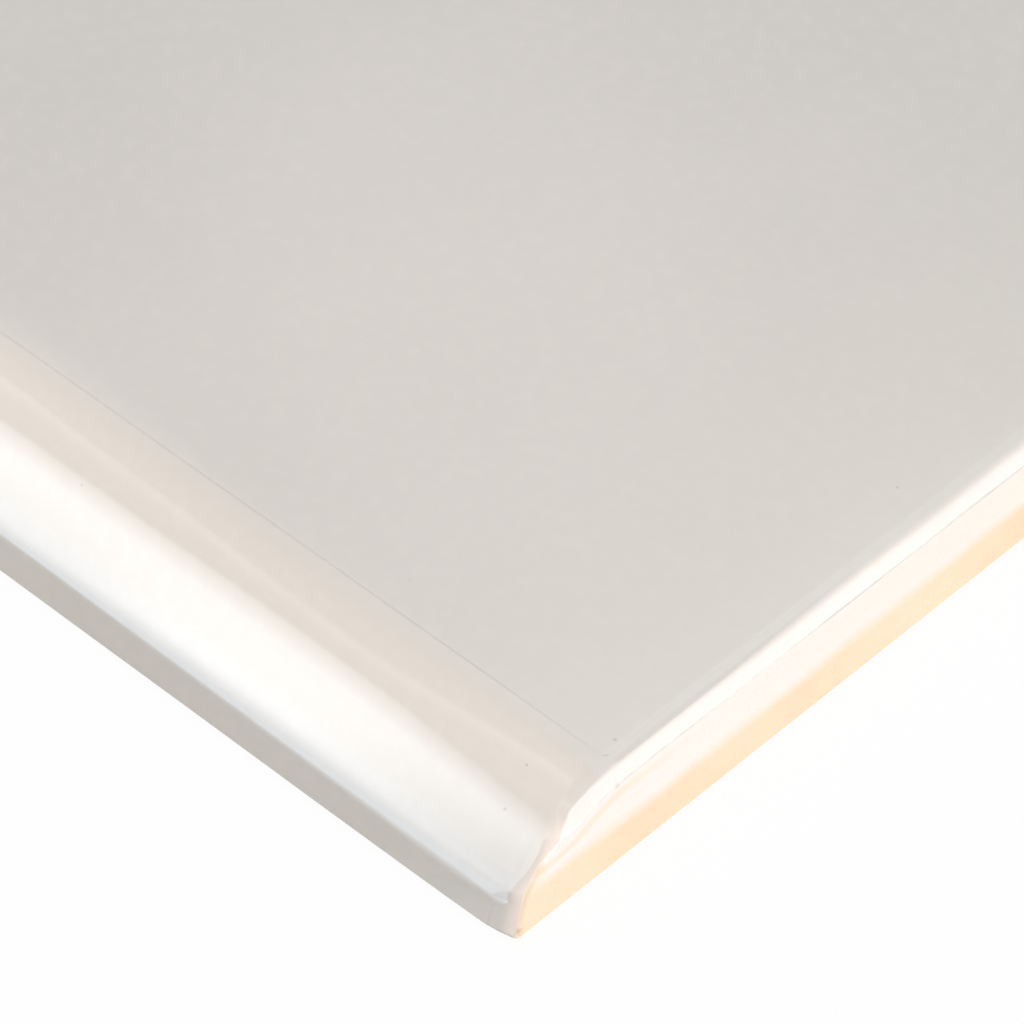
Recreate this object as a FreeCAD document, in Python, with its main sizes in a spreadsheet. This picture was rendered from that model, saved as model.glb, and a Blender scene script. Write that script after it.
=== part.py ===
"""Surface bullnose wall tile: one pressed and fired ceramic piece.

The tile lies on its back with the glazed face up. X runs along the bullnose edge, -Y points
out of that edge and Z is up. The origin is the middle of the back. Sizes are in millimetres.
"""

import FreeCAD
import Part
import Sketcher
import math
import os

# Driving dimensions: name, size in millimetres, what it measures
SIZES = [
    ("tile_width", 108.0, "along the bullnose edge, between the two side edges"),
    ("tile_depth", 108.0, "from the foot of the bullnose to the far edge"),
    ("tile_thickness", 8.0, "from the back to the glazed face"),
    ("nose_radius", 10.0, "of the rounded edge, tangent to the glazed face"),
    ("rim_radius", 1.05, "of the rolled rim round the three plain edges and the nose ends"),
    ("corner_radius", 2.0, "of the two upright corners of the far edge"),
    ("back_arris", 0.4, "eased edge round the back"),
]

TOUCH = 1e-4


def sizes_sheet(doc):
    """The spreadsheet of driving dimensions, with an alias for each."""
    sheet = doc.addObject("Spreadsheet::Sheet", "sizes")
    for row, (name, size, note) in enumerate(SIZES, start=1):
        sheet.set(f"A{row}", name)
        sheet.set(f"B{row}", str(size))
        sheet.set(f"C{row}", note)
        sheet.setAlias(f"B{row}", name)
    doc.recompute()
    return sheet


def nose_reach(sheet):
    """How far the rounded nose runs in from its foot before it meets the flat face."""
    centre_height = sheet.tile_thickness - sheet.nose_radius
    return math.sqrt(sheet.nose_radius**2 - centre_height**2)


def section_sketch(body, sheet):
    """The tile's section across the bullnose: flat back, rounded nose, flat face, square far edge."""
    plane = next(f for f in body.Origin.OriginFeatures if f.Role == "YZ_Plane")
    sketch = body.newObject("Sketcher::SketchObject", "section")
    sketch.AttachmentSupport = [(plane, "")]
    sketch.MapMode = "FlatFace"

    half_depth = sheet.tile_depth / 2
    face = sheet.tile_thickness
    radius = sheet.nose_radius
    far_foot = FreeCAD.Vector(half_depth, 0)
    nose_foot = FreeCAD.Vector(-half_depth, 0)
    centre = FreeCAD.Vector(nose_reach(sheet) - half_depth, face - radius)
    shoulder = FreeCAD.Vector(centre.x, face)
    far_top = FreeCAD.Vector(half_depth, face)
    foot_angle = math.pi + math.asin(centre.y / radius)
    circle = Part.Circle(centre, FreeCAD.Vector(0, 0, 1), radius)

    back = sketch.addGeometry(Part.LineSegment(far_foot, nose_foot))
    nose = sketch.addGeometry(Part.ArcOfCircle(circle, math.pi / 2, foot_angle))
    top = sketch.addGeometry(Part.LineSegment(shoulder, far_top))
    far = sketch.addGeometry(Part.LineSegment(far_top, far_foot))

    start, end = 1, 2
    origin = (-1, 1)
    for rule in (
        ("Coincident", back, end, nose, end),
        ("Tangent", nose, start, top, start),
        ("Coincident", top, end, far, start),
        ("Coincident", far, end, back, start),
        ("Horizontal", back),
        ("Horizontal", top),
        ("Vertical", far),
        ("Symmetric", back, start, back, end, *origin),
    ):
        sketch.addConstraint(Sketcher.Constraint(*rule))
    for name, rule in (
        ("tile_depth", ("DistanceX", back, end, back, start, sheet.tile_depth)),
        ("tile_thickness", ("DistanceY", far, end, far, start, face)),
        ("nose_radius", ("Radius", nose, radius)),
    ):
        index = sketch.addConstraint(Sketcher.Constraint(*rule))
        sketch.renameConstraint(index, name)
        sketch.setExpression(f"Constraints.{name}", f"sizes.{name}")
    return sketch


def edges_where(feature, test):
    """Names of a feature's edges whose sampled points and curve pass the test."""
    names = []
    for number, edge in enumerate(feature.Shape.Edges, start=1):
        if test(edge.discretize(5), edge.Curve):
            names.append(f"Edge{number}")
    return names


def dress(body, kind, name, base, test, size_property, alias):
    """A fillet or chamfer on the chosen edges of the feature before it, sized by one alias."""
    edges = edges_where(base, test)
    feature = body.newObject(kind, name)
    feature.Base = (base, edges)
    feature.setExpression(size_property, f"sizes.{alias}")
    body.Document.recompute()
    return feature


def bullnose_tile(doc, sheet):
    """The whole tile: the padded section, then its corners, rolled rim and eased back."""
    half_width = sheet.tile_width / 2
    half_depth = sheet.tile_depth / 2
    face = sheet.tile_thickness
    shoulder = nose_reach(sheet) - half_depth

    def on_back(points, curve):
        return all(abs(p.z) < TOUCH for p in points)

    def on_side(points):
        return all(abs(abs(p.x) - half_width) < TOUCH for p in points)

    def far_corner(points, curve):
        far = all(abs(p.y - half_depth) < TOUCH for p in points)
        return far and on_side(points)

    def rim(points, curve):
        on_face = all(abs(p.z - face) < TOUCH for p in points)
        shoulder_line = all(abs(p.y - shoulder) < TOUCH for p in points)
        nose_end = on_side(points) and isinstance(curve, Part.Circle)
        return nose_end or (on_face and not shoulder_line)

    body = doc.addObject("PartDesign::Body", "bullnose_tile")
    body.Label = "bullnose_tile"
    sketch = section_sketch(body, sheet)
    slab = body.newObject("PartDesign::Pad", "slab")
    slab.Profile = sketch
    slab.SideType = "Symmetric"
    slab.setExpression("Length", "sizes.tile_width")
    doc.recompute()

    corners = dress(
        body, "PartDesign::Fillet", "far_corners", slab, far_corner, "Radius", "corner_radius"
    )
    rolled = dress(body, "PartDesign::Fillet", "rolled_rim", corners, rim, "Radius", "rim_radius")
    dress(body, "PartDesign::Chamfer", "eased_back", rolled, on_back, "Size", "back_arris")
    return body


def check(doc, pieces):
    """Stops if any object failed to rebuild, or a piece is not one valid closed solid."""
    failed = [o.Name for o in doc.Objects if {"Invalid", "Error"} & set(o.State)]
    if failed:
        raise RuntimeError(f"these did not rebuild: {failed}")
    for piece in pieces:
        shape = piece.Shape
        if shape.isNull() or not shape.isValid() or len(shape.Solids) != 1:
            raise RuntimeError(f"{piece.Label} is not one valid solid")


doc = FreeCAD.newDocument("bullnose_tile")
sheet = sizes_sheet(doc)
pieces = [bullnose_tile(doc, sheet)]
doc.recompute()
check(doc, pieces)

os.makedirs("parts", exist_ok=True)
for piece in pieces:
    piece.Shape.exportStep(f"parts/{piece.Label}.step")
    print(piece.Label, "volume", round(piece.Shape.Volume, 1), "mm3")
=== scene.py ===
from functools import partial

import bmesh
import bpy
import numpy as np
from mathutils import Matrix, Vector


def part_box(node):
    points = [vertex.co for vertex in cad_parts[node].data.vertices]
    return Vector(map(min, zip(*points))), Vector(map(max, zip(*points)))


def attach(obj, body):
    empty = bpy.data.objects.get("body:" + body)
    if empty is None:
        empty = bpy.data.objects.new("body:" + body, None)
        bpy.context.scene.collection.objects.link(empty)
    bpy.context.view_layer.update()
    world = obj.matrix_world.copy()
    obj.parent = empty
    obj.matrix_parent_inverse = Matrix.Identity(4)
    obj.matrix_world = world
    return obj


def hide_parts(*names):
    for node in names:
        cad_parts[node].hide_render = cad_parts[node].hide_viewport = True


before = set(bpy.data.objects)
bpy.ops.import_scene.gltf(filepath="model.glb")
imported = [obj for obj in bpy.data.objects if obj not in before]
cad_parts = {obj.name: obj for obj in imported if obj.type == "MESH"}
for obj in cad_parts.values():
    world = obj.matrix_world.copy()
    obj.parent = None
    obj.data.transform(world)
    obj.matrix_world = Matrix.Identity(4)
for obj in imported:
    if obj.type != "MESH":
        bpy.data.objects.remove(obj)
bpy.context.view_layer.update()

# The tile
# One piece of buff earthenware, pressed from damp powder, fired, sprayed with a pale warm-grey glaze
# and fired again. The glaze rolls over the rim of the three plain edges and stops there in a thin
# lip, and a mist of overspray whitens the upper part of the bare edge below it.
MM = 0.001
low, high = (np.array(corner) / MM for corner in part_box("bullnose_tile"))
half_width, far_edge, face_height = high
nose_front = low[1]

# Sizes in millimetres, and numbers of steps in the mesh
NOSE_RADIUS = 10.0
BORDER = 2.0  # width of the border that holds the rolled rim, and radius of the far corners
BACK_ARRIS = 0.4
EDGE_SAG, EDGE_SAG_REACH = 0.1, 4.0
FOOT_SAG, FOOT_SAG_REACH = 0.18, 2.0
FACE_ROWS, NOSE_ROWS, COLUMNS, CORNER_STEPS = 104, 64, 112, 8
FLAT_STEPS, RIM_STEPS, LIP_STEPS, EDGE_STEPS = 2, 16, 8, 12

# The glaze lies calm along a line this far in front of the shoulder, where the light's flag has its
# foot, so that the foot shows less: fully within the first distance, and not at all past the second
CALM_LINE, CALM_WITHIN, CALM_UNTIL = 0.5, 0.3, 4.0

nose_axis_z = face_height - NOSE_RADIUS
foot_tilt = np.arcsin((BACK_ARRIS - nose_axis_z) / NOSE_RADIUS)
nose_axis_y = nose_front + NOSE_RADIUS * np.cos(foot_tilt)


def smooth(value, start, stop):
    """0 up to start and 1 from stop on, with an even S-shaped change between; stop may be the lower."""
    t = np.clip((value - start) / (stop - start), 0, 1)
    return t * t * (3 - 2 * t)


def footness(tilt):
    """0 on the face and upper nose, rising to 1 at the foot of the nose."""
    return smooth(np.degrees(tilt), 34, 16)


def sag(distance, tilt):
    """How far the glazed surface falls towards a plain edge, at this distance in from it: a little
    along the whole edge, and more at the foot of the nose."""
    whole_edge = EDGE_SAG * np.exp(-distance / EDGE_SAG_REACH)
    return whole_edge + FOOT_SAG * footness(tilt) * np.exp(-distance / FOOT_SAG_REACH)


def ripple(x, run):
    """The unevenness of a fired glaze: a few long shallow waves along and across the tile, those across
    dying down at the calm line. It only ever lowers the surface, to stay inside the solid's box."""
    calm = smooth(np.abs(run - CALM_LINE), CALM_WITHIN, CALM_UNTIL)
    along = 0.006 * np.sin(x / 5.3 + 0.7) + 0.005 * np.sin(x / 3.1 + 0.11 * run)
    across = 0.006 * np.sin(run / 4.7 + 0.05 * x) + 0.004 * np.sin(run / 2.6 - 0.21 * x + 1.9)
    return along + calm * across - 0.022


# The section's rows, from the far border over the flat face and round the nose to its foot: the tilt
# of the surface's normal, the place, and the run, which is the way round the section from the shoulder
flat_y = np.linspace(far_edge - BORDER, nose_axis_y, FACE_ROWS + 1)
nose_tilt = np.linspace(np.pi / 2, foot_tilt, NOSE_ROWS + 1)[1:]
row_tilt = np.concatenate([np.full(flat_y.size, np.pi / 2), nose_tilt])
row_y = np.concatenate([flat_y, nose_axis_y - NOSE_RADIUS * np.cos(nose_tilt)])
row_z = np.concatenate([np.full(flat_y.size, face_height), nose_axis_z + NOSE_RADIUS * np.sin(nose_tilt)])
row_run = np.concatenate([nose_axis_y - flat_y, NOSE_RADIUS * (np.pi / 2 - nose_tilt)])
row_normal = np.stack([0 * row_tilt, -np.cos(row_tilt), np.sin(row_tilt)], -1)
column_x = np.linspace(-1, 1, COLUMNS + 1) * (half_width - BORDER)


def glazed_face():
    """The face and nose inside the border: the section carried along x, moved along its own normal
    by the glaze's ripple and by the sag towards the plain edges."""
    x, run = np.meshgrid(column_x, row_run)
    rise = ripple(x, run) - sag(half_width - np.abs(x), row_tilt[:, None])
    rise = rise - sag(far_edge - row_y, row_tilt)[:, None]
    base = np.stack(np.broadcast_arrays(x, row_y[:, None], row_z[:, None]), -1)
    return base + rise[..., None] * row_normal[:, None, :]


face = glazed_face()

# The border's path: up the right edge from the nose's foot, along the far edge and down the left edge
right, left, back = np.eye(3)[0], -np.eye(3)[0], np.eye(3)[1]
turn = np.linspace(0, np.pi / 2, CORNER_STEPS + 1)[1:-1, None]
corner_out = np.cos(turn) * right + np.sin(turn) * back
rows, columns = row_tilt.size, column_x.size
path_inner = np.concatenate([
    face[::-1, -1], np.repeat(face[:1, -1], turn.size, 0), face[0, ::-1],
    np.repeat(face[:1, 0], turn.size, 0), face[:, 0],
])
path_out = np.concatenate([
    np.repeat(right[None], rows, 0), corner_out, np.repeat(back[None], columns, 0),
    (corner_out * [-1, 1, 1])[::-1], np.repeat(left[None], rows, 0),
])
upright = np.full(columns + 2 * turn.size, np.pi / 2)
path_tilt = np.concatenate([row_tilt[::-1], upright, row_tilt])
path_length = np.concatenate([[0], np.cumsum(np.linalg.norm(np.diff(path_inner, axis=0), axis=1))])

# The rim rolls over furthest on the flat face, thins to a tight arris on the nose, and ends in a
# worn round corner at the nose's foot. Tilts and turns are in degrees, drops and radii in millimetres.
path_degrees = np.degrees(path_tilt)
on_face = smooth(path_degrees, 54, 65)
rolled = smooth(path_degrees, 51, 61)
mid_nose = smooth(path_degrees, 30, 42) * smooth(path_degrees, 56, 46)
low_nose = smooth(path_degrees, 48, 18)
at_foot = footness(path_tilt)
rim_turn = np.radians(16.5 + 46.5 * rolled - 6.5 * at_foot)[:, None]
rim_drop = (0.15 + 0.81 * on_face - 0.06 * mid_nose + 0.05 * at_foot)[:, None]
rim_radius = rim_drop / (1 - np.cos(rim_turn))
lip_radius = (0.06 + 0.04 * on_face + 0.24 * low_nose)[:, None]


def rolled_border():
    """The border from the face's edge to the end of the glaze lip: flat, then an arc of the rim's
    radius through its turn, then the lip's own small arc until it stands upright. The drop wanders a
    little along the face. Gives how far out and how far down from the inner point each point lies,
    and how far the surface has turned."""
    arc = rim_turn * np.linspace(0, 1, RIM_STEPS + 1)
    lip = rim_turn + (np.pi / 2 - rim_turn) * np.linspace(0, 1, LIP_STEPS + 1)[1:]
    start = BORDER - (rim_radius - lip_radius) * np.sin(rim_turn) - lip_radius
    flat = start * np.linspace(0, 1, FLAT_STEPS + 1)[:-1]
    lip_out = start + (rim_radius - lip_radius) * np.sin(rim_turn)
    lip_down = rim_radius - (rim_radius - lip_radius) * np.cos(rim_turn)
    out = np.hstack([flat, start + rim_radius * np.sin(arc), lip_out + lip_radius * np.sin(lip)])
    down = np.hstack([0 * flat, rim_radius * (1 - np.cos(arc)), lip_down - lip_radius * np.cos(lip)])
    turned = np.hstack([0 * flat, arc, lip])
    wander = 0.03 * np.sin(path_length / 2.3) + 0.025 * np.sin(path_length / 5.9 + 1.3)
    tilt = path_tilt[:, None]
    down = down * (1 + (wander * on_face)[:, None]) + sag(BORDER - out, tilt) - sag(BORDER, tilt)
    return out, down, turned


# The roll goes down on the face and straight back at the nose's foot, which keeps the foot level
level = (path_tilt - foot_tilt) / (np.pi / 2 - foot_tilt) * np.pi / 2
path_down = np.stack([0 * level, np.cos(level), -np.sin(level)], -1)
out, down, turned = rolled_border()
border = path_inner[:, None] + out[..., None] * path_out[:, None] + down[..., None] * path_down[:, None]

# The bare edge stands upright below the lip, down to the eased back edge. The glaze ends within the
# first small share of its height.
GLAZE_END = 0.006
below = np.concatenate([[0, GLAZE_END], np.linspace(0, 1, EDGE_STEPS + 1)[1:]])
edge = np.repeat(border[:, -1:], below.size, 1)
edge[..., 2] += (BACK_ARRIS - edge[:, :1, 2]) * below

# The outline at the top of the eased back edge, all the way round from the left end of the foot,
# with the way out at each point
foot_line = face[-1]
foot_out = np.repeat(-back[None], columns, 0)
right_corner = border[0, 1:]
right_corner_out = np.sin(turned[0, 1:, None]) * right - np.cos(turned[0, 1:, None]) * back
left_corner = border[-1, :0:-1]
left_corner_out = (np.sin(turned[-1, :, None]) * left - np.cos(turned[-1, :, None]) * back)[:0:-1]
outline = np.concatenate([foot_line, right_corner, edge[:, -1], left_corner])
outline_out = np.concatenate([foot_out, right_corner_out, path_out, left_corner_out])
eased = (outline - BACK_ARRIS * outline_out) * [1, 1, 0]

# The flat back: a grid inside the border, whose corners each take a whole corner of the outline
inner_front = nose_front + BORDER
edge_y = edge[:rows, -1, 1][::-1]
back_y = inner_front + (edge_y - edge_y[-1]) * (flat_y[0] - inner_front) / (flat_y[0] - edge_y[-1])
flat_back = np.stack(np.broadcast_arrays(column_x, back_y[:, None], 0.0), -1)
back_ring = np.concatenate([
    flat_back[-1], np.repeat(flat_back[-1:, -1], len(right_corner), 0), flat_back[::-1, -1],
    np.repeat(flat_back[:1, -1], turn.size, 0), flat_back[0, ::-1],
    np.repeat(flat_back[:1, 0], turn.size, 0), flat_back[:, 0],
    np.repeat(flat_back[-1:, 0], len(left_corner), 0),
])
back_rings = np.stack([outline, eased, back_ring], 1)
back_rings = np.concatenate([back_rings, back_rings[:1]])

# How much of the surface is covered by glaze, how thin that glaze is where it runs off an arris, and
# how far along the section it lies
bare_width = 0.02 * (1 - on_face) + 0.3 * smooth(path_degrees, 57, 40) - 0.15 * at_foot
border_cover = smooth(BORDER - out - bare_width[:, None], -0.04, 0.06)
# The glaze on the face's rim ends early in the lip's turn, which is partly real and partly painted light:
# the paler bare lip stands in for a brighter reflection, so no shaded line shows.
flat_rim = on_face == 1
border_cover[flat_rim] = 1 - 0.9 * smooth(np.degrees(turned[flat_rim]), 57, 70)
edge_cover = np.hstack([border_cover[:, -1:], np.zeros((len(edge), edge.shape[1] - 1))])
ring_cover = np.zeros(back_rings.shape[:2])
ring_cover[:columns, 0] = ring_cover[-1, 0] = 1
ring_cover[columns:columns + len(right_corner), 0] = border_cover[0, 1:]
ring_cover[-1 - len(left_corner):-1, 0] = border_cover[-1, :0:-1]
border_thin = (1 - on_face[:, None]) * smooth(out - 0.3 * mid_nose[:, None], 0.6, 1.7)
border_thin[:, -LIP_STEPS:] = 1
edge_thin = np.ones(edge.shape[:2])
face_run = np.repeat(row_run[:, None], columns, 1)
border_run = np.repeat(nose_axis_y - path_inner[:, 1:2], border.shape[1], 1)
border_run[:rows] = row_run[::-1, None]
border_run[-rows:] = row_run[:, None]


def grid_quads(shape, first, flip=False):
    """Four-cornered faces of a grid of points whose first point has this number."""
    index = first + np.arange(shape[0] * shape[1]).reshape(shape)
    quads = np.stack([index[:-1, :-1], index[1:, :-1], index[1:, 1:], index[:-1, 1:]], -1).reshape(-1, 4)
    return quads[:, ::-1] if flip else quads


def blank(grid):
    """A zero for each point of a grid."""
    return np.zeros(grid.shape[:2])


# Each sheet of points, whether its faces are turned over, its glaze, its thinness and its run
grids, flips, covers, thins, runs = zip(
    (face, False, blank(face) + 1, blank(face), face_run),
    (border, True, border_cover, border_thin, border_run),
    (edge, True, edge_cover, edge_thin, blank(edge)),
    (back_rings, True, ring_cover, blank(back_rings), blank(back_rings)),
    (flat_back, True, blank(flat_back), blank(flat_back), blank(flat_back)),
)
points = np.concatenate([grid.reshape(-1, 3) for grid in grids]) * MM
firsts = np.cumsum([0] + [cover.size for cover in covers])
quads = np.concatenate([
    grid_quads(grid.shape[:2], first, flip) for grid, first, flip in zip(grids, firsts, flips)
])
tile_mesh = bpy.data.meshes.new("glazed_tile")
tile_mesh.from_pydata(points.tolist(), [], quads.tolist())
for name, parts in (("glaze", covers), ("thin", thins), ("run", runs)):
    values = np.concatenate([part.ravel() for part in parts])
    tile_mesh.attributes.new(name, "FLOAT", "POINT").data.foreach_set("value", values)
WELD_WITHIN, SHARP_FROM = 1e-4, 35  # millimetres and degrees
welded = bmesh.new()
welded.from_mesh(tile_mesh)
bmesh.ops.remove_doubles(welded, verts=welded.verts, dist=WELD_WITHIN * MM)
bmesh.ops.recalc_face_normals(welded, faces=welded.faces)
welded.to_mesh(tile_mesh)
welded.free()
tile_mesh.shade_smooth()
tile_mesh.set_sharp_from_angle(angle=np.radians(SHARP_FROM))
tile = bpy.data.objects.new("glazed_tile", tile_mesh)
bpy.context.scene.collection.objects.link(tile)


def linear(code):
    """A colour written as sRGB hex, as linear red, green, blue and alpha."""
    srgb = np.array([int(code[i:i + 2], 16) for i in (1, 3, 5)]) / 255
    rgb = np.where(srgb <= 0.04045, srgb / 12.92, ((srgb + 0.055) / 1.055) ** 2.4)
    return (*rgb.tolist(), 1.0)


def node(tree, kind, inputs=None, out=0, **settings):
    """Adds a node with its settings, joins or sets its named or numbered inputs, and gives its output
    of this name or number, if it has outputs."""
    made = tree.nodes.new("ShaderNode" + kind)
    for name, value in settings.items():
        setattr(made, name, value)
    for name, value in (inputs or {}).items():
        if isinstance(value, bpy.types.NodeSocket):
            tree.links.new(value, made.inputs[name])
        else:
            made.inputs[name].default_value = value
    return made.outputs[out] if len(made.outputs) else made


# Settings of a range that eases in and out, and of a mix of colours, which has its two colours at
# inputs 6 and 7 and its result at output 2
EASED = {"interpolation_type": "SMOOTHSTEP"}
COLOURS = {"data_type": "RGBA", "out": 2}

# Specks placed near the tile's right end: where along the tile, where along the section, and how wide
# from the middle, in millimetres, and the spacing of the scattered ones
PLACED_SPECKS = ((52.1, -0.9, 0.16), (49.4, 3.7, 0.13), (50.0, 6.5, 0.14), (50.3, -27.4, 0.12))
SPECK_SPACING = 7.0


def glaze_colour(add, where, x, run):
    """The glaze's colour: soft clouds, then fine mottling, then dark specks fired out of the body,
    first the scattered ones, whose size is drawn for each cell, and then the placed ones."""
    cloud = add("TexNoise", {"Vector": where, "Scale": 1 / (30 * MM), "Detail": 2})
    cloud = add("MapRange", {"Value": cloud, "From Min": 0.3, "From Max": 0.7}, **EASED)
    colour = add("Mix", {0: cloud, 6: linear("#CDC9C3"), 7: linear("#D0CCC6")}, **COLOURS)
    mottle = add("TexNoise", {"Vector": where, "Scale": 1 / (1.1 * MM), "Detail": 2})
    mottle = add("MapRange", {"Value": mottle, "From Min": 0.4, "From Max": 0.75, "To Max": 0.2}, **EASED)
    colour = add("Mix", {0: mottle, 6: colour, 7: linear("#DAD5CE")}, **COLOURS)

    x_in_mm = add("Math", {0: x, 1: 1 / MM}, operation="MULTIPLY")
    unrolled = add("CombineXYZ", {"X": x_in_mm, "Y": run})
    cell = add("TexVoronoi", {"Vector": unrolled, "Scale": 1 / SPECK_SPACING}, voronoi_dimensions="2D")
    drawn = add("SeparateColor", {0: cell.node.outputs["Color"]})
    size = add("MapRange", {"Value": drawn, "From Min": 0.86, "To Max": 0.016})
    past = add("Math", {0: cell, 1: size}, operation="SUBTRACT")
    speck = add("MapRange", {"Value": past, "From Min": 0.0, "From Max": -0.012}, **EASED)
    for along_tile, along_section, reach in PLACED_SPECKS:
        place = (along_tile, along_section, 0)
        away = add("VectorMath", {0: unrolled, 1: place}, "Value", operation="DISTANCE")
        placed = add("MapRange", {"Value": away, "From Min": reach, "From Max": 0.4 * reach}, **EASED)
        speck = add("Math", {0: speck, 1: placed}, operation="MAXIMUM")
    speck = add("Math", {0: speck, 1: 0.45}, operation="MULTIPLY")
    return add("Mix", {0: speck, 6: colour, 7: linear("#9A938B")}, **COLOURS)


def bare_edge(add, where, axis):
    """The bare edge's colour, and how much overspray is on it: gritty buff body, then white overspray
    that fades out downwards and towards the nose, with a gap under the lip near the nose, then the
    burnt patches low at the nose's corners."""
    x, y, z = axis["X"], axis["Y"], axis["Z"]
    tone = add("TexNoise", {"Vector": where, "Scale": 1 / (7 * MM), "Detail": 3})
    tone = add("MapRange", {"Value": tone, "From Min": 0.3, "From Max": 0.7}, **EASED)
    colour = add("Mix", {0: tone, 6: linear("#F4DAB9"), 7: linear("#F9E2C4")}, **COLOURS)
    grit = add("TexNoise", {"Vector": where, "Scale": 1 / (0.3 * MM), "Detail": 2})
    grit = add("MapRange", {"Value": grit, "From Min": 0.55, "From Max": 0.8, "To Max": 0.35}, **EASED)
    colour = add("Mix", {0: grit, 6: colour, 7: linear("#E6C9A0")}, **COLOURS)

    streaks = add("VectorMath", {0: where, 1: (1, 1, 5)}, operation="MULTIPLY")
    wobble = add("TexNoise", {"Vector": streaks, "Scale": 1 / (9 * MM), "Detail": 3})
    wobble = add("MapRange", {"Value": wobble, "To Min": -0.5 * MM, "To Max": 0.5 * MM})
    height = add("Math", {0: z, 1: wobble}, operation="ADD")
    spray = add("MapRange", {"Value": height, "From Min": 2.8 * MM, "From Max": 4.2 * MM}, **EASED)
    past_nose = add("MapRange", {"Value": y, "From Min": -52.6 * MM, "From Max": -50.5 * MM}, **EASED)
    spray = add("Math", {0: spray, 1: past_nose}, operation="MULTIPLY")

    lip_range = {"From Min": -50.5 * MM, "From Max": -44 * MM, "To Min": 5.5 * MM, "To Max": 7.05 * MM}
    lip_height = add("MapRange", {"Value": y, **lip_range}, **EASED)
    depth = add("Math", {0: lip_height, 1: height}, operation="SUBTRACT")
    gap = add("MapRange", {"Value": depth, "From Min": 0.35 * MM, "From Max": 0.8 * MM}, **EASED)
    above = add("MapRange", {"Value": depth, "From Min": 1.5 * MM, "From Max": 0.95 * MM}, **EASED)
    gap = add("Math", {0: gap, 1: above}, operation="MULTIPLY")
    near_range = {"From Min": -38 * MM, "From Max": -46 * MM, "To Max": 0.55}
    near_nose = add("MapRange", {"Value": y, **near_range}, **EASED)
    gap = add("Math", {0: gap, 1: near_nose}, operation="MULTIPLY")
    spray = add("Math", {0: spray, 1: gap}, operation="SUBTRACT")
    spray = add("MapRange", {"Value": spray, "To Max": 0.95})
    mist = add("MapRange", {"Value": y, "From Min": -40 * MM, "From Max": 5 * MM}, **EASED)
    mist = add("Mix", {0: mist, 6: linear("#F8F3ED"), 7: linear("#F8EFE5")}, **COLOURS)
    colour = add("Mix", {0: spray, 6: colour, 7: mist}, **COLOURS)

    side = add("Math", {0: x}, operation="ABSOLUTE")
    burnt = add("MapRange", {"Value": side, "From Min": 52.8 * MM, "From Max": 53.4 * MM}, **EASED)
    front = add("MapRange", {"Value": y, "From Min": -52.7 * MM, "From Max": -53.3 * MM}, **EASED)
    foot = add("MapRange", {"Value": z, "From Min": 2.0 * MM, "From Max": 0.9 * MM}, **EASED)
    patches = add("TexNoise", {"Vector": where, "Scale": 1 / (0.6 * MM), "Detail": 2})
    patches = add("MapRange", {"Value": patches, "From Min": 0.38, "From Max": 0.55, "To Max": 0.5}, **EASED)
    for share in (front, foot, patches):
        burnt = add("Math", {0: burnt, 1: share}, operation="MULTIPLY")
    return add("Mix", {0: burnt, 6: colour, 7: linear("#C0906A")}, **COLOURS), spray


def glazed_earthenware():
    """Opaque glossy glaze, faintly cloudy and sparsely specked, on a chalky buff body that is white
    with overspray under the rim. Shows as a mirror-bright pale grey face against matt warm edges."""
    material = bpy.data.materials.new("glazed_earthenware")
    material.use_nodes = True
    tree = material.node_tree
    add = partial(node, tree)
    shader = tree.nodes["Principled BSDF"]
    shader.inputs["IOR"].default_value = 1.55
    where = add("TexCoord", out="Object")
    axis = add("SeparateXYZ", {0: where}).node.outputs
    glaze = add("Attribute", out="Fac", attribute_name="glaze")
    thin = add("Attribute", out="Fac", attribute_name="thin")
    run = add("Attribute", out="Fac", attribute_name="run")

    # Colour, with one small darker brown spot in the lip at the right end of the nose
    glazed = glaze_colour(add, where, axis["X"], run)
    glazed = add("Mix", {0: thin, 6: glazed, 7: linear("#F1E3D9")}, **COLOURS)
    bare, spray = bare_edge(add, where, axis)
    colour = add("Mix", {0: glaze, 6: bare, 7: glazed}, **COLOURS)
    lip_spot_centre = (54 * MM, -45.1 * MM, 6.9 * MM)
    away = add("VectorMath", {0: where, 1: lip_spot_centre}, "Value", operation="DISTANCE")
    lip_spot_range = {"From Min": 0.3 * MM, "From Max": 0.1 * MM, "To Max": 0.25}
    lip_spot = add("MapRange", {"Value": away, **lip_spot_range}, **EASED)
    colour = add("Mix", {0: lip_spot, 6: colour, 7: linear("#A8937F")}, **COLOURS)

    # Gloss, and fine relief: orange peel on the glaze, except at the calm line, and grain on the body
    bare_rough = add("MapRange", {"Value": spray, "To Min": 0.9, "To Max": 0.6})
    rough = add("Mix", {0: glaze, 2: bare_rough, 3: 0.06})
    peel = add("TexNoise", {"Vector": where, "Scale": 1 / (2.2 * MM), "Detail": 0})
    peel = add("MapRange", {"Value": peel, "To Min": -0.002 * MM, "To Max": 0.002 * MM})
    off_line = add("Math", {0: run, 1: CALM_LINE}, operation="SUBTRACT")
    off_line = add("Math", {0: off_line}, operation="ABSOLUTE")
    calm = add("MapRange", {"Value": off_line, "From Min": CALM_WITHIN, "From Max": CALM_UNTIL}, **EASED)
    peel = add("Math", {0: peel, 1: calm}, operation="MULTIPLY")
    grain = add("TexNoise", {"Vector": where, "Scale": 1 / (0.25 * MM), "Detail": 2})
    grain = add("MapRange", {"Value": grain, "To Min": -0.015 * MM, "To Max": 0.015 * MM})
    relief = add("Mix", {0: glaze, 2: grain, 3: peel})
    bump = add("Bump", {"Height": relief, "Distance": 1.0, "Strength": 1.0})
    for name, socket in (("Base Color", colour), ("Roughness", rough), ("Normal", bump)):
        tree.links.new(socket, shader.inputs[name])
    return material


tile_mesh.materials.append(glazed_earthenware())
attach(tile, "root")
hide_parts("bullnose_tile")

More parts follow.
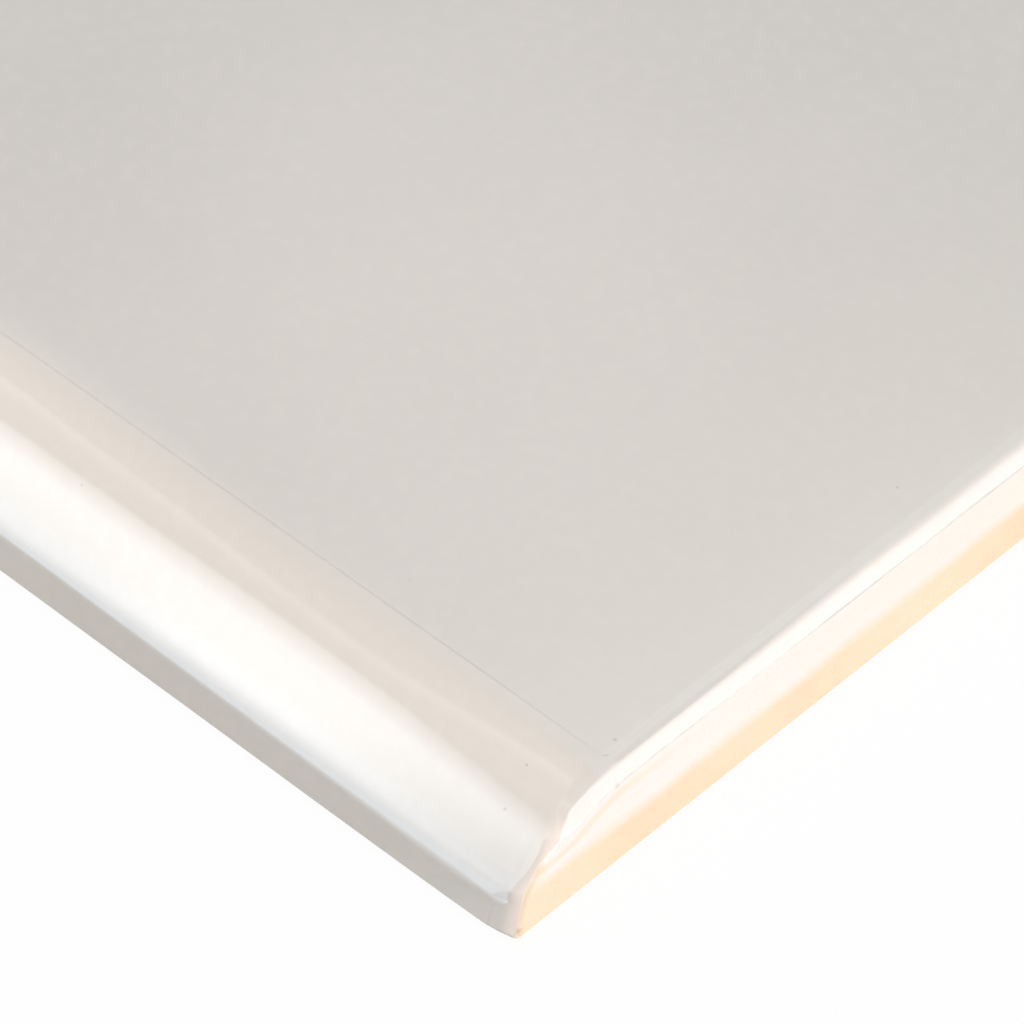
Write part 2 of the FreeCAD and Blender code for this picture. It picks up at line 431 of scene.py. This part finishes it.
# The floor
# A plain white table top that the tile lies on. The camera and the glaze see mostly its own white,
# and the rest of it is lit and keeps the tile's soft shadow.
HALF_FLOOR = 3.0
OWN_WHITE = 0.955
floor_mesh = bpy.data.meshes.new("floor")
corners = [(-1, -1, 0), (1, -1, 0), (1, 1, 0), (-1, 1, 0)]
floor_mesh.from_pydata((HALF_FLOOR * np.array(corners)).tolist(), [], [(0, 1, 2, 3)])
floor = bpy.data.objects.new("floor", floor_mesh)
bpy.context.scene.collection.objects.link(floor)


def seen_directly(add):
    """1 for the rays of the camera and of mirror-like and clear surfaces, 0 for the rest."""
    path = add("LightPath").node.outputs
    seen = add("Math", {0: path["Is Camera Ray"], 1: path["Is Glossy Ray"]}, operation="MAXIMUM")
    return add("Math", {0: seen, 1: path["Is Transmission Ray"]}, operation="MAXIMUM")


floor_material = bpy.data.materials.new("white_table")
floor_material.use_nodes = True
floor_material.node_tree.nodes.clear()
add = partial(node, floor_material.node_tree)
share = add("Math", {0: seen_directly(add), 1: OWN_WHITE}, operation="MULTIPLY")
lit = add("BsdfDiffuse", {"Color": linear("#F4F4F4")})
white = add("Emission", {"Color": linear("#FFFFFF"), "Strength": 1.0})
add("OutputMaterial", {"Surface": add("MixShader", {0: share, 1: lit, 2: white})})
floor_mesh.materials.append(floor_material)

# The light
# A pale room with one soft key lamp, and glowing sheets that only the glaze mirrors: a tall soft box
# in front of the nose at the left, a wide one at the right, a warm ceiling between them, cards on the
# table and a white flag over the face. Sizes and places are in metres.
ROOM_LIGHT, ROOM_SEEN = 0.74, 1.0
world = bpy.data.worlds.new("pale_room")
bpy.context.scene.world = world
world.use_nodes = True
world.node_tree.nodes.clear()
add = partial(node, world.node_tree)
strength = add("MapRange", {"Value": seen_directly(add), "To Min": ROOM_LIGHT, "To Max": ROOM_SEEN})
room = add("Background", {"Color": linear("#FFFFFF"), "Strength": strength})
add("OutputWorld", {"Surface": room})

key_data = bpy.data.lights.new("key", "AREA")
key_data.shape = "DISK"
key_data.size = 0.6
key_data.energy = 3.5
key = bpy.data.objects.new("key", key_data)
bpy.context.scene.collection.objects.link(key)
key.location = (0.84, 0.3, 0.8)
key.rotation_euler = Vector(key.location).to_track_quat("Z", "Y").to_euler()
key.visible_glossy = False


def stage_glow(name, grid, up, fade, level, stops):
    """A glowing grid of points that only mirror-like surfaces see. The stops (place, colour, cover)
    give the colour and the cover by each point's share of the way up. The strength is the level, and
    the cover is multiplied by the fade."""
    mesh = bpy.data.meshes.new(name)
    mesh.from_pydata(grid.reshape(-1, 3).tolist(), [], grid_quads(grid.shape[:2], 0).tolist())
    for label, values in (("up", up), ("fade", fade), ("level", level)):
        mesh.attributes.new(label, "FLOAT", "POINT").data.foreach_set("value", values.ravel())
    sheet = bpy.data.objects.new(name, mesh)
    bpy.context.scene.collection.objects.link(sheet)
    material = bpy.data.materials.new(name)
    material.use_nodes = True
    material.node_tree.nodes.clear()
    add = partial(node, material.node_tree)
    colour = add("ValToRGB", {0: add("Attribute", out="Fac", attribute_name="up")})
    elements = colour.node.color_ramp.elements
    while len(elements) < len(stops):
        elements.new(0.5)
    for element, (place, code, cover) in zip(elements, stops):
        element.position = place
        element.color = (*linear(code)[:3], cover)
    strength = add("Attribute", out="Fac", attribute_name="level")
    surface = add("Emission", {"Color": colour, "Strength": strength})
    if fade.min() < 1 or any(cover < 1 for place, code, cover in stops):
        fading = add("Attribute", out="Fac", attribute_name="fade")
        cover = add("Math", {0: colour.node.outputs["Alpha"], 1: fading}, operation="MULTIPLY")
        surface = add("MixShader", {0: cover, 1: add("BsdfTransparent"), 2: surface})
    add("OutputMaterial", {"Surface": surface})
    mesh.materials.append(material)
    sheet.visible_camera = sheet.visible_diffuse = sheet.visible_shadow = False


def even(step, up):
    """The same glow all over."""
    return np.ones(up.shape)


SHEET_POINTS = 49


def glowing_sheet(name, centre, along, level, spans, bottom, top, strength, stops, dim=even, ends=(0, 0)):
    """A sheet bent round the tile: at each step along a level line through the centre it stands on
    a circle round that line, between the bottom and top lifts above the level. Its glow follows the
    stops from bottom to top, times dim of the step and the share of the way up, and its cover fades
    out over the given shares of its ends. Lifts are degrees, given at even steps."""
    centre, along, level = np.array(centre), np.array(along), np.array(level)
    across, up = np.meshgrid(np.linspace(0, 1, SHEET_POINTS), np.linspace(0, 1, SHEET_POINTS))
    low_lift = np.interp(across, np.linspace(0, 1, len(bottom)), bottom)
    high_lift = np.interp(across, np.linspace(0, 1, len(top)), top)
    lift = np.radians(low_lift + (high_lift - low_lift) * up)
    step = spans[0] + (spans[1] - spans[0]) * across
    grid = centre + step[..., None] * along + np.cos(lift)[..., None] * level
    grid[..., 2] += np.linalg.norm(level) * np.sin(lift)
    fade = smooth(across, -1e-6, ends[0]) * smooth(1 - across, -1e-6, ends[1])
    stage_glow(name, grid, up, fade, strength * dim(step, up), stops)


def left_dim(step, up):
    """The left box is dimmer towards its right end, and low down towards both ends."""
    low_down = smooth(up, 0.04, 0.2) * (1 - smooth(up, 0.2, 0.85))
    near_ends = 0.3 * smooth(step, -0.5, -0.36) + 0.15 * smooth(step, -0.5, -0.57)
    return (1 - 0.22 * smooth(step, -0.49, -0.34)) * (1 - low_down * near_ends)


glowing_sheet(
    "left_box", (0, -0.05, 0), (1, 0, 0), (0, -0.9, 0), (-0.68, -0.32), (0, 0),
    (66.5, 65.5, 64.3, 65, 65.8, 65.3, 61.5, 58.5, 57), 11.6,
    [
        (0, "#C1C5C9", 1), (0.05, "#CED2D6", 1), (0.13, "#EAEDF3", 1), (0.22, "#F8F9FE", 1),
        (0.4, "#F8F7F5", 1), (0.62, "#F8F7F5", 1), (0.76, "#F4F1EF", 1), (0.88, "#E1DAD5", 1),
        (1, "#CCC1B5", 1),
    ],
    dim=left_dim, ends=(0, 0.12),
)

# The warm sheets above the left box meet in a soft pale line, which is where the lower one ends
SOFT_LINE = (92, 90, 87, 78, 91, 76, 74, 73, 72, 72, 72, 72, 72, 72)
glowing_sheet(
    "warm_low", (0, -0.05, 0), (1, 0, 0), (0, -0.95, 0), (-0.8, 0.5), (0, 0), SOFT_LINE, 8.0,
    [(0, "#C4B8AE", 1), (0.5, "#C8BBB0", 1), (0.75, "#D9C9BC", 1), (0.93, "#D9C9BC", 1), (1, "#E3D2C5", 1)],
)
glowing_sheet(
    "warm_high", (0, -0.05, 0), (1, 0, 0), (0, -0.95, 0), (-0.8, 0.5), SOFT_LINE, (124, 124), 8.0,
    [
        (0, "#E5D4C7", 1), (0.05, "#E0D0C3", 1), (0.12, "#CFBFB2", 1), (0.3, "#CBBAAD", 1),
        (0.55, "#BFAEA2", 1), (0.74, "#B2A7A0", 1), (1, "#9C9794", 1),
    ],
)


def right_dim(step, up):
    """The right box is a little dimmer at its far end."""
    return 1 - 0.1 * smooth(step, 0.55, 0.6)


# The right box, the ramp that it fades into, and a faint glow higher up
BOX_TOP, RAMP_TOP = (52, 56, 56, 50, 45, 45), (62, 65, 68, 74, 84, 84)
glowing_sheet(
    "right_box", (0.05, 0, 0), (0, 1, 0), (0.9, 0, 0), (-0.5, 0.8), (0, 0), BOX_TOP, 9.0,
    [(0, "#FFFCF8", 1), (1, "#FFFCF8", 1)], dim=right_dim,
)
glowing_sheet(
    "right_ramp", (0.05, 0, 0), (0, 1, 0), (0.9, 0, 0), (-0.5, 0.8), BOX_TOP, RAMP_TOP, 9.0,
    [(0, "#FFFCF8", 1), (0.2, "#F8ECE2", 1), (0.6, "#C8BDB4", 1), (1, "#AEA8A2", 1)], dim=right_dim,
)
glowing_sheet(
    "right_glow", (0.05, 0, 0), (0, 1, 0), (0.78, 0, 0), (0.104, 0.624), (70, 70, 84, 84, 84), (125, 125),
    8.0, [(0, "#AEAEAA", 1), (0.8, "#B8B8B2", 1), (1, "#A8A49F", 0)], ends=(0.2, 0.3),
)


def ceiling_dim(step, up):
    """The ceiling is brightest along its middle, and dimmest at its right end."""
    return 1 - 0.22 * smooth(np.abs(step + 0.01), 0.03, 0.11) - 0.18 * smooth(step, 0.09, 0.17)


glowing_sheet(
    "ceiling", (0, 0, 0), (0.72, 0.69, 0), (-0.9, 0.94, 0), (-0.6, 0.6), (37, 37), (88, 88), 8.0,
    [(0, "#9C9794", 0), (0.15, "#9C9794", 0.9), (0.3, "#9C9794", 1), (1, "#9C9794", 1)],
    dim=ceiling_dim,
)


def glowing_card(name, rows, cover, colour, strength):
    """A glowing card through rows of points, with its cover at each point along the rows."""
    grid = np.array(rows)
    fade = np.tile(np.array(cover, float), (len(grid), 1))
    stage_glow(name, grid, blank(grid), fade, blank(grid) + strength, [(0, colour, 1), (1, colour, 1)])


# Lit table in front of the nose, outside the tile's own shadow, dimmer table within the shadow, and
# paler table to the right, each from row to row
LAID, LOWER = 0.0003, 0.0002
glowing_card("lit_table", [
    [(0.05, -0.059, LAID), (0.05, -0.0635, LAID), (-0.35, -0.95, LAID)],
    [(0.038, -0.063, LAID), (0.038, -0.0738, LAID), (-0.36, -0.95, LAID)],
    [(-0.3, -0.0735, LAID), (-0.3, -0.155, LAID), (-0.68, -0.95, LAID)],
], (0, 1, 1), "#E8F3FF", 6.5)
glowing_card("dim_table", [
    [(0.048, -0.0535, LOWER), (0.046, -0.055, LOWER), (0.046, -0.09, LOWER)],
    [(-0.3, -0.0535, LOWER), (-0.3, -0.055, LOWER), (-0.3, -0.2, LOWER)],
], (0, 1, 1), "#FFF0E4", 1.5)
glowing_card("pale_table", [
    [(0.044, -0.054, LAID), (0.056, -0.054, LAID), (0.6, -0.054, LAID)],
    [(0.0455, -0.0666, LAID), (0.055, -0.0666, LAID), (0.6, -0.0666, LAID)],
    [(-0.352, -0.95, LAID), (-0.335, -0.95, LAID), (0.6, -0.95, LAID)],
], (0, 1, 1), "#FFF6F0", 2.8)


FADES_FROM, FLAG_TOP = 0.12, 0.2


def flag_rows(stands):
    """A flag's rows, each up the lean from a point of the foot: through the reach at which the flag
    has faded in and the one at which it starts to fade out, to its top."""
    return [
        [np.array(foot) + reach * np.array(lean) for reach in (0, faded_in, FADES_FROM, FLAG_TOP)]
        for foot, lean, faded_in in stands
    ]


# A plain white flag stands along the calm line of the nose and the right rim and leans over the face,
# along the ways in which the camera's rays leave the glaze there, so that from other sides the face
# mirrors the flag and not the boxes. It fades in softly over the nose.
SOFT_FOOT, SHARP_FOOT = 0.002, 0.0002
glowing_card("flag", flag_rows([
    ((-0.2, -0.0447, 0.00797), (-0.8, 0.29, 0.52), SOFT_FOOT),
    ((-0.03, -0.0447, 0.00797), (-0.615, 0.37, 0.695), SOFT_FOOT),
    ((0.0525, -0.0447, 0.00788), (-0.43, 0.414, 0.8), SOFT_FOOT),
    ((0.0526, -0.0444, 0.00788), (-0.266, 0.44, 0.857), SHARP_FOOT),
    ((0.0526, 0.0, 0.00789), (-0.256, 0.59, 0.766), SHARP_FOOT),
    ((0.0526, 0.05, 0.00788), (-0.229, 0.68, 0.698), SHARP_FOOT),
    ((0.0526, 0.2, 0.00788), (-0.185, 0.81, 0.551), SHARP_FOOT),
]), (0, 1, 1, 0), "#FFFFFF", 1.0)

# The camera
# At the photograph's place, fitted to the tile's outlines: a long lens close above the near corner of
# the tile. The focal length is known in pixels of the image.
SENSOR_WIDTH, FOCAL_PIXELS, IMAGE_PIXELS = 36.0, 6000, 1024
AZIMUTH, ELEVATION = np.radians(43.864), np.radians(45.337)
CAMERA_PLACE = Vector((208.75, -214.8, 261.4)) * MM
camera_data = bpy.data.cameras.new("camera")
camera = bpy.data.objects.new("camera", camera_data)
bpy.context.scene.collection.objects.link(camera)
camera_data.sensor_width = SENSOR_WIDTH
camera_data.lens = SENSOR_WIDTH * FOCAL_PIXELS / IMAGE_PIXELS
level_way = Vector((np.sin(AZIMUTH), -np.cos(AZIMUTH), 0)) * np.cos(ELEVATION)
back_way = level_way + Vector((0, 0, np.sin(ELEVATION)))
camera.location = CAMERA_PLACE
camera.rotation_euler = (-back_way).to_track_quat("-Z", "Y").to_euler()
camera_data.clip_start, camera_data.clip_end = 0.01, 10.0
bpy.context.scene.camera = camera
bpy.context.scene.view_settings.view_transform = "Standard"
